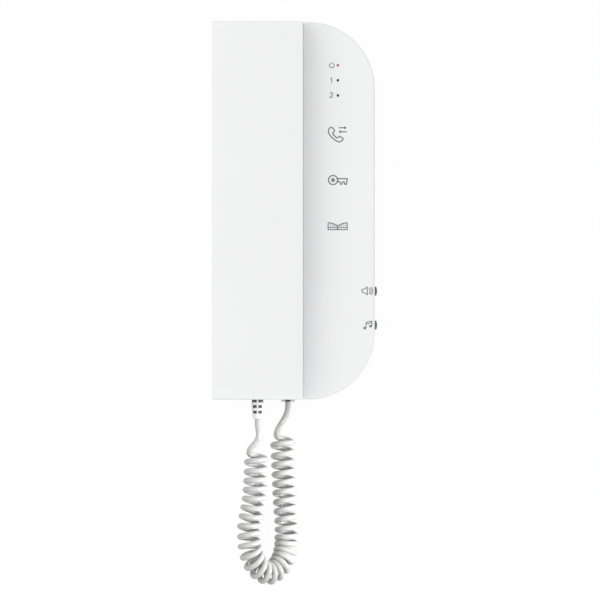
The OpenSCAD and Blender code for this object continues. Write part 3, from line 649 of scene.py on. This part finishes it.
def relax(line, keep, rounds=150):
    """Pushes turns that lie in each other apart, and keeps the cord smooth. keep is each point's freedom."""
    home = line.copy()
    index = np.arange(len(line))
    other_turn = np.abs(index[:, None] - index[None, :]) > STEPS_PER_TURN * 0.5
    for _ in range(rounds):
        gap = line[:, None, :] - line[None, :, :]
        far = np.linalg.norm(gap, axis=2)
        close = other_turn & (far < CORD_D * TOO_NEAR)
        if not close.any():
            break
        push = np.where(close, (CORD_D * APART - far) * 0.25 / np.maximum(far, 1e-6), 0.0)
        off = line + (gap * push[:, :, None]).sum(1) - home
        for _ in range(2):
            off[1:-1] = 0.25 * off[:-2] + 0.5 * off[1:-1] + 0.25 * off[2:]
        line = home + off * keep[:, None] * 0.995
    return line


def cord_route():
    """The cord from plug to handset: its lead, its turns and its other lead, as one smooth line."""
    coil = coil_line()
    line = through(np.vstack([BASE_LEAD, coil[::2], HANDSET_LEAD[::-1]]), DRAFT_POINTS)
    line = evenly(line, DRAFT_POINTS)
    index = np.arange(len(line))
    keep = np.clip(np.minimum(index - HELD, index[::-1] - HELD) / EASED, 0, 1)
    return evenly(relax(line, keep), CORD_POINTS)


def grown(name, source, finish, sizes, build):
    """A mesh grown by Geometry Nodes from a curve or mesh, with the tree's sizes as its inputs."""
    tree = bpy.data.node_groups.new(name, "GeometryNodeTree")
    tree.interface.new_socket("Geometry", in_out="INPUT", socket_type="NodeSocketGeometry")
    for key, value in sizes.items():
        kind = "NodeSocketInt" if isinstance(value, int) else "NodeSocketFloat"
        tree.interface.new_socket(key, in_out="INPUT", socket_type=kind)
    tree.interface.new_socket("Geometry", in_out="OUTPUT", socket_type="NodeSocketGeometry")
    g = Nodes(tree)
    inputs = {out.name: Sock(g, out) for out in g.node("NodeGroupInput").socket.node.outputs if out.name}
    solid = g.node("GeometryNodeRealizeInstances", {}, {"Geometry": build(g, inputs)})
    solid = g.node("GeometryNodeSetMaterial", {}, {"Geometry": solid, "Material": finishes[finish]})
    g.node("NodeGroupOutput", {}, {"Geometry": solid})
    obj = bpy.data.objects.new(name, source)
    bpy.context.scene.collection.objects.link(obj)
    modifier = obj.modifiers.new("grow", "NODES")
    modifier.node_group = tree
    for item in tree.interface.items_tree:
        if item.in_out == "INPUT" and item.name in sizes:
            modifier[item.identifier] = sizes[item.name]
    graph = bpy.context.evaluated_depsgraph_get()
    mesh = bpy.data.meshes.new_from_object(obj.evaluated_get(graph), depsgraph=graph)
    bpy.data.objects.remove(obj)
    return mesh


def line_curve(name, line):
    """A curve of one open spline through the points of a line."""
    curve_data = bpy.data.curves.new(name, "CURVE")
    curve_data.dimensions = "3D"
    spline = curve_data.splines.new("POLY")
    spline.points.add(len(line) - 1)
    spline.points.foreach_set("co", np.hstack([place(line), np.ones((len(line), 1))]).ravel())
    return curve_data


def swept(g, inputs):
    """A closed round tube along the curve."""
    sizes = {"Resolution": inputs["Sides"], "Radius": inputs["Radius"]}
    ring = g.node("GeometryNodeCurvePrimitiveCircle", {}, sizes)
    return g.node(
        "GeometryNodeCurveToMesh", {}, {"Curve": inputs["Geometry"], "Profile Curve": ring, "Fill Caps": True}
    )


route = cord_route()
tube = {"Radius": CORD_D / 2 * MM, "Sides": CORD_SIDES}
cord = piece(
    "curly_cord",
    smooth(outward(grown("cord_sweep", line_curve("cord_line", route), "cord_white", tube, swept)), 60),
    "cord_white",
    replaces=("cord_lead_base", "cord_coil", "cord_lead_handset"),
)
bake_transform(cord)


# ---------------------------------------------------------------- the handset's front

HANDSET_LEFT, HANDSET_RIGHT = -46.5, 5.45
HANDSET_TOP = 108.0
SEAM, FRONT, CROWN = 34.0, 46.0, 1.2
EDGE_R, END_R = 0.35, 0.8


def handset_outline():
    """The front shell's profile, from its left side over the crown to its right side."""
    half = (HANDSET_RIGHT - HANDSET_LEFT) / 2
    crown_r = (2 * half) ** 2 / (8 * CROWN) + CROWN / 2
    x1 = half - EDGE_R
    z1 = FRONT - crown_r + math.sqrt((crown_r - EDGE_R) ** 2 - x1**2)
    tilt = math.asin(x1 / (crown_r - EDGE_R))
    right = [(half, SEAM), (half, SEAM + 4), (half, SEAM + 8)]
    for a in np.linspace(0, math.pi / 2 - tilt, 8):
        right.append((x1 + EDGE_R * math.cos(a), z1 + EDGE_R * math.sin(a)))
    for x in np.linspace(x1, 0, 20)[1:]:
        right.append((x, FRONT - crown_r + math.sqrt(crown_r**2 - x**2)))
    return [(-x, z) for x, z in right] + right[::-1][1:]


def front_shell():
    """The crowned front shell as one closed skin, with rounded ends."""
    outline = handset_outline()
    middle = (HANDSET_LEFT + HANDSET_RIGHT) / 2
    r = END_R
    arc = np.linspace(0, math.pi / 2, 7)
    rows = [(-HANDSET_TOP + r - r * math.cos(a), r - r * math.sin(a)) for a in arc]
    rows += [(up, 0.0) for up in np.linspace(-HANDSET_TOP + r, HANDSET_TOP - r, 26)[1:-1]]
    rows += [(HANDSET_TOP - r + r * math.cos(a), r - r * math.sin(a)) for a in arc[::-1]]
    points = []
    for up, sunk in rows:
        points += [(middle + x, up, z - sunk * min(1.0, max(0.0, (z - SEAM) / 2))) for x, z in outline]
    n, last = len(outline), (len(rows) - 1) * len(outline)
    faces = [tuple(range(n))[::-1], tuple(last + k for k in range(n))]
    for i in range(len(rows) - 1):
        a = i * n
        faces += [(a + k, a + (k + 1) % n, a + n + (k + 1) % n, a + n + k) for k in range(n)]
    return outward(mesh_of("handset_front", points, faces))


handset_face = piece(
    "handset_front",
    smooth(front_shell(), 40),
    "handset_white",
    body="handset",
    replaces=("handset_front_shell",),
)
even_shading(handset_face)


# ---------------------------------------------------------------- refined copies of curved parts


def refined(node, name):
    """A copy of a CAD node with its triangles joined and smooth curves, in the node's place."""
    b = bmesh.new()
    b.from_mesh(NODES[node].data)
    bmesh.ops.remove_doubles(b, verts=b.verts, dist=2e-6)
    bmesh.ops.dissolve_limit(b, angle_limit=math.radians(0.4), verts=b.verts, edges=b.edges)
    mesh = bpy.data.meshes.new(name)
    b.to_mesh(mesh)
    b.free()
    smooth(mesh, 32)
    body = NODES[node]["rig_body"]
    obj = piece(name, mesh, FINISH_OF[node], body=body, replaces=(node,))
    mesh.materials.clear()
    mesh.materials.append(finishes[FINISH_OF[node]])
    return even_shading(obj)


refined("base_cover", "cover")
refined("handset_rear_shell", "handset_back")
refined("base_plug", "plug")
boot = refined("cord_boot", "boot")

# The rings of the sleeve that the boot's finish paints in shade: their height and radius.
SHADE_SLEEVE = [(-107.5, 3.3), (-109.5, 3.2), (-112.5, 2.94), (-115.6, 2.6)]
SHADE_SLEEVE_SIDES = 40


def add_shade_sleeve(obj):
    """A sleeve inside the boot that closes its slots from behind: a surface put where the slots show only shade, which
    the boot's finish paints dark.
    """
    b = bmesh.new()
    b.from_mesh(obj.data)
    n = SHADE_SLEEVE_SIDES
    turn = np.linspace(0, 2 * math.pi, n, endpoint=False)
    rings = []
    for up, r in SHADE_SLEEVE:
        ring = [(BOOT_X + r * math.cos(a), up, BOOT_OUT + r * math.sin(a)) for a in turn]
        rings.append([b.verts.new(tuple(p)) for p in place(ring)])
    for low, high in zip(rings, rings[1:]):
        for k in range(n):
            b.faces.new((low[k], low[(k + 1) % n], high[(k + 1) % n], high[k])).smooth = True
    b.faces.new(rings[0])
    b.faces.new(rings[-1])
    bmesh.ops.recalc_face_normals(b, faces=b.faces)
    b.to_mesh(obj.data)
    b.free()


add_shade_sleeve(boot)

# The unit's right side, and a button's face outside it: its edge, its bow, half its height and its rounding.
UNIT_SIDE = 46.49
KEY_EDGE, KEY_BOW, KEY_HALF, KEY_ROUND = 47.4, 0.55, 2.6, 0.3


def side_key(node, name, up):
    """A side button whose part outside the unit's side has a nearly flat face and rounded edges."""
    obj = refined(node, name)
    for v in obj.data.vertices:
        if v.co.x > UNIT_SIDE * MM:
            bow = 1 - ((v.co.z / MM - up) / KEY_HALF) ** 2
            v.co.x = (KEY_EDGE + KEY_BOW * max(0.0, bow)) * MM
    return soften(obj, KEY_ROUND)


side_key("volume_button", "volume_key", VOLUME_UP)
side_key("melody_button", "melody_key", MELODY_UP)

# ---------------------------------------------------------------- printed marks

PANEL_FRONT = 30.0
INK_T = 0.03
INK_W, ARROW_W, GATE_W, THIN_W = 0.72, 0.62, 0.6, 0.5
KEY_X, CALL_Y, DOOR_Y, GATE_Y = 25.4, 43.5, 17.3, -8.9


def unit(v):
    return v / np.linalg.norm(v)


def ribbon(points, width, closed=False):
    """A flat stroke of ink along points (x, up), as one closed slab."""
    p = np.asarray(points, float)
    n = len(p)
    left, right = [], []
    for i in range(n):
        before = p[(i - 1) % n] if closed or i else 2 * p[0] - p[1]
        after = p[(i + 1) % n] if closed or i < n - 1 else 2 * p[-1] - p[-2]
        d0, d1 = unit(p[i] - before), unit(after - p[i])
        across = np.array([-(d0 + d1)[1], (d0 + d1)[0]])
        across = unit(across) if np.linalg.norm(across) > 1e-6 else np.array([-d0[1], d0[0]])
        reach = width / 2 / max(0.45, abs(across @ np.array([-d0[1], d0[0]])))
        left.append(p[i] + across * reach)
        right.append(p[i] - across * reach)
    quads = [(i, (i + 1) % n) for i in range(n if closed else n - 1)]
    return left + right, [(i, j, n + j, n + i) for i, j in quads]


def slab(flat, faces):
    """Gives flat faces (x, up) the thickness of the ink, half of it sunk in the panel."""
    n = len(flat)
    points = [(x, up, PANEL_FRONT + side) for side in (INK_T, -INK_T) for x, up in flat]
    solid = [tuple(f) for f in faces] + [tuple(n + v for v in f)[::-1] for f in faces]
    edges = {}
    for f in faces:
        for a, b in zip(f, f[1:] + f[:1]):
            edges[(a, b)] = True
    for a, b in edges:
        if (b, a) not in edges:
            solid.append((a, b, n + b, n + a))
    return points, solid


def mark(name, strokes=(), fills=(), centre=(0, 0)):
    """One printed symbol of strokes (points, width, closed) and filled outlines."""
    points, faces = [], []
    for flat, cells in [ribbon(*s) for s in strokes] + [(f, [tuple(range(len(f)))]) for f in fills]:
        shifted = [(x + centre[0], up + centre[1]) for x, up in flat]
        p, f = slab(shifted, cells)
        faces += [tuple(len(points) + v for v in face) for face in f]
        points += p
    mesh = outward(mesh_of(name, points, faces), join=False)
    return piece(name, mesh, "ink", body="wall_unit")


def circle(x, up, r, a0=0.0, a1=360.0, count=28):
    """Points of a circle, or of its arc from a0 to a1 degrees."""
    return [
        (x + r * math.cos(math.radians(a)), up + r * math.sin(math.radians(a)))
        for a in np.linspace(a0, a1, count, endpoint=abs(a1 - a0) < 359)
    ]


def curve(points, count):
    """A smooth curve through points (x, up)."""
    p = [(x, up, 0.0) for x, up in points]
    return [(q[0], q[1]) for q in through(p, count)]


def curve_closed(points, count):
    """A smooth loop through points (x, up): one round of a curve that runs on past its start."""
    p = np.asarray(points + points[:3], float)
    dense = through([(x, up, 0) for x, up in p], 400)
    half = len(dense) // 2
    start = np.argmin(np.linalg.norm(dense[:, :2] - p[1], axis=1))
    stop = half + np.argmin(np.linalg.norm(dense[half:, :2] - p[1 + len(points)], axis=1))
    loop = evenly(dense[start : stop + 1], count + 1)[:-1]
    return [(q[0], q[1]) for q in loop]


receiver = [
    (-5.4, 1.9), (-5.15, 3.3), (-4.4, 4.1), (-3.3, 4.1), (-2.4, 3.2), (-1.95, 2.05), (-2.8, 1.2), (-2.75, 0.3),
    (-0.7, -1.75), (0.1, -1.5), (0.75, -0.95), (1.9, -1.4), (2.9, -2.15), (2.65, -3.1), (0.9, -4.05),
    (-0.5, -3.7), (-2.7, -2.2), (-4.8, 0.05),
]
mark(
    "call_mark",
    [
        (curve_closed(receiver, 96), INK_W, True),
        ([(0.5, 4.0), (4.0, 4.0)], ARROW_W, False),
        ([(1.4, 1.7), (5.1, 1.7)], ARROW_W, False),
    ],
    [[(5.1, 4.0), (3.6, 4.95), (3.6, 3.05)], [(0.3, 1.7), (1.8, 0.75), (1.8, 2.65)]],
    (KEY_X, CALL_Y),
)
key_blade = [
    (-0.35, 1.04), (5.35, 1.04), (5.15, -0.3), (4.75, -2.15), (4.1, -2.15), (3.5, -0.75), (2.65, -0.75),
    (2.15, -2.15), (1.5, -2.15), (0.95, -0.6), (-0.35, -0.5),
]
mark(
    "door_mark",
    [(circle(-2.77, 0.27, 2.6), INK_W, True), (key_blade, INK_W, False)],
    [circle(-2.77, 0.27, 1.1)],
    (KEY_X, DOOR_Y),
)
gate_left = [(-5.6, 2.0), (-4.4, 1.9), (-3.0, 1.6), (-1.4, 0.95), (-0.15, 0.3)]
gate_right = [(0.15, 0.3), (1.4, 0.95), (2.8, 1.6), (4.1, 1.9), (5.3, 2.0)]
mark(
    "gate_mark",
    [
        ([(-5.6, 2.0), (-5.6, -1.9), (5.3, -1.9), (5.3, 2.0)], GATE_W, False),
        (curve(gate_left, 16), GATE_W, False),
        (curve(gate_right, 16), GATE_W, False),
        ([(-5.6, -0.76), (5.3, -0.76)], 0.42, False),
        ([(-0.15, 0.3), (-0.15, -1.9)], 0.65, False),
    ],
    [],
    (KEY_X, GATE_Y),
)


def above_foot(g, inputs):
    """How far a point is above the foot of the bars."""
    split = g.node("ShaderNodeSeparateXYZ", {}, {0: g.node("GeometryNodeInputPosition")})
    return Sock(g, split.socket.node.outputs[2]) - inputs["Foot"]


def bars(g, inputs):
    """Upright bars of ink that hang from the source's points down to the foot."""
    drop = g.node("ShaderNodeCombineXYZ", {}, {"Z": above_foot(g, inputs) * -0.5})
    middles = g.node("GeometryNodeSetPosition", {}, {"Geometry": inputs["Geometry"], "Offset": drop})
    size = g.node("ShaderNodeCombineXYZ", {}, {"X": inputs["Width"], "Y": inputs["Thickness"], "Z": 1.0})
    bar = g.node("GeometryNodeMeshCube", {}, {"Size": size})
    stretch = g.node("ShaderNodeCombineXYZ", {}, {"X": 1.0, "Y": 1.0, "Z": above_foot(g, inputs) * 2.0})
    return g.node("GeometryNodeInstanceOnPoints", {}, {"Points": middles, "Instance": bar, "Scale": stretch})


bar_tops = [
    (-4.4, 1.8), (-3.3, 1.6), (-2.2, 1.25), (-1.15, 0.8), (0.85, 0.75), (1.9, 1.2), (3.0, 1.6), (4.1, 1.8),
]
tops = mesh_of("bar_tops", [(KEY_X + x, GATE_Y + up, PANEL_FRONT) for x, up in bar_tops], [])
bar_sizes = {"Width": 0.3 * MM, "Thickness": 2 * INK_T * MM, "Foot": (GATE_Y - 0.76) * MM}
bar_mesh = outward(grown("gate_bars", tops, "ink", bar_sizes, bars))
piece("gate_bars", bar_mesh, "ink", body="wall_unit")
speaker = [(39.2, -45.05), (40.6, -44.85), (42.2, -43.7), (42.2, -48.05), (40.6, -46.95), (39.2, -46.75)]
mark(
    "volume_mark",
    [
        (speaker, 0.55, True),
        (circle(41.7, -45.9, 2.0, -50, 50, 12), 0.42, False),
        (circle(41.5, -45.9, 2.95, -44, 44, 12), 0.36, False),
        (circle(41.3, -45.9, 3.9, -36, 36, 12), THIN_W, False),
    ],
)
mark(
    "melody_mark",
    [
        ([(41.5, -67.1), (41.5, -63.95), (44.8, -63.1), (44.8, -66.0)], THIN_W, False),
        ([(41.5, -64.9), (44.8, -64.0)], THIN_W, False),
    ],
    [circle(40.75, -67.2, 0.8), circle(44.05, -66.1, 0.8)],
)
mark(
    "power_mark",
    [(circle(21.9, 83.2, 1.4, 125, 415, 24), THIN_W, False), ([(21.9, 83.9), (21.9, 85.0)], THIN_W, False)],
)
mark("channel_1_mark", [([(21.15, 75.35), (21.85, 75.95), (21.85, 73.2)], THIN_W, False)])
two = [
    (20.95, 67.0), (21.2, 67.5), (21.75, 67.65), (22.3, 67.4), (22.4, 66.8), (22.1, 66.2), (21.4, 65.5), (20.95, 64.95),
]
mark("channel_2_mark", [(curve(two, 20) + [(22.5, 64.95)], THIN_W, False)])

# ---------------------------------------------------------------- light and backdrop

WORLD_LEVEL = 0.98
# How much brighter the front half is half-left, and dimmer far left, to the right and below.
LEFT_GLOW, LEFT_DIM, RIGHT_DIM, LOW_DIM = 0.62, 0.85, 0.16, 0.3
# The back half's level on both sides.
BACK_LEFT, BACK_RIGHT = 0.05, 0.8
CORD_LAMP = 0.02
FRONT_LAMP = 0.017
WALL_SHADOW = 0.05
WALL_HALF, WALL_OUT = 1500, -0.4


def make_world():
    """Soft light from the front, strongest half-left, and from the back half's right. Seen directly it is white."""
    world = bpy.data.worlds.new("studio")
    bpy.context.scene.world = world
    world.use_nodes = True
    world.node_tree.nodes.clear()
    w = Nodes(world.node_tree)
    split = w.node("ShaderNodeSeparateXYZ", {}, {0: w.node("ShaderNodeTexCoord", output="Generated")})
    x, y, z = [Sock(w, out) for out in split.socket.node.outputs]
    left = -1 * x
    glow = LEFT_GLOW * w.rise(left, 0.1, 0.5) * (1 - w.rise(left, 0.75, 0.92))
    sides = 1 + glow - LEFT_DIM * w.rise(left, 0.8, 0.95) - RIGHT_DIM * w.rise(x, 0.05, 0.4)
    front = WORLD_LEVEL * sides * (1 - LOW_DIM * w.rise(-1 * z, 0.3, 0.95))
    back = BACK_LEFT + (BACK_RIGHT - BACK_LEFT) * w.rise(x, 0.1, 0.8)
    behind = w.rise(y, -0.02, 0.1)
    level = front * (1 - behind) + back * behind
    sky = w.node("ShaderNodeBackground", {}, {"Color": (1, 1, 1), "Strength": level})
    seen = w.node("ShaderNodeBackground", {}, {"Color": (1, 1, 1), "Strength": 1.0})
    ray = w.node("ShaderNodeLightPath").socket.node.outputs
    plain = w.maths("MAXIMUM", Sock(w, ray["Is Camera Ray"]), Sock(w, ray["Is Glossy Ray"]))
    plain = w.maths("MAXIMUM", plain, Sock(w, ray["Is Transmission Ray"]))
    w.node("ShaderNodeOutputWorld", {}, {"Surface": w.shaders(plain, sky, seen)})


def make_lamp(name, at, target, size, power, spread):
    """A flat lamp, size (across, up) in millimetres, whose light stays within spread degrees."""
    data = bpy.data.lights.new(name, "AREA")
    data.shape = "RECTANGLE"
    data.size, data.size_y = (v * MM for v in size)
    data.spread = math.radians(spread)
    data.energy = power
    lamp = bpy.data.objects.new(name, data)
    lamp.location = spot(*at)
    lamp.rotation_euler = (Vector(spot(*target)) - lamp.location).to_track_quat("-Z", "Y").to_euler()
    lamp.visible_camera = False
    bpy.context.scene.collection.objects.link(lamp)


def make_backdrop():
    """The pale wall: white from the front, with a trace of the object's shadow, and open from behind."""
    corners = [(a * WALL_HALF, b * WALL_HALF, WALL_OUT) for a, b in ((-1, -1), (1, -1), (1, 1), (-1, 1))]
    mesh = mesh_of("wall", corners, [(0, 1, 2, 3)])
    material = bpy.data.materials.new("wall_white")
    material.use_nodes = True
    material.node_tree.nodes.clear()
    w = Nodes(material.node_tree)
    paint = w.node("ShaderNodeBsdfDiffuse", {}, {"Color": (0.95, 0.95, 0.95)})
    white = w.node("ShaderNodeEmission")
    clear = w.node("ShaderNodeBsdfTransparent")
    seen = w.node("ShaderNodeLightPath", output="Is Camera Ray")
    behind = w.node("ShaderNodeNewGeometry", output="Backfacing")
    wall = w.shaders(WALL_SHADOW, white, paint)
    w.node("ShaderNodeOutputMaterial", {}, {"Surface": w.shaders(seen * (1 - behind), clear, wall)})
    mesh.materials.append(material)
    wall_obj = bpy.data.objects.new("wall", mesh)
    bpy.context.scene.collection.objects.link(wall_obj)


make_world()
make_lamp("cord_lamp", (300, -155, 17), (-10, -155, 20), (24, 110), CORD_LAMP, 34)
make_lamp("front_lamp", (230, -166, 200), (-12, -166, 22), (50, 88), FRONT_LAMP, 10)
make_backdrop()
bpy.context.scene.view_settings.view_transform = "Standard"
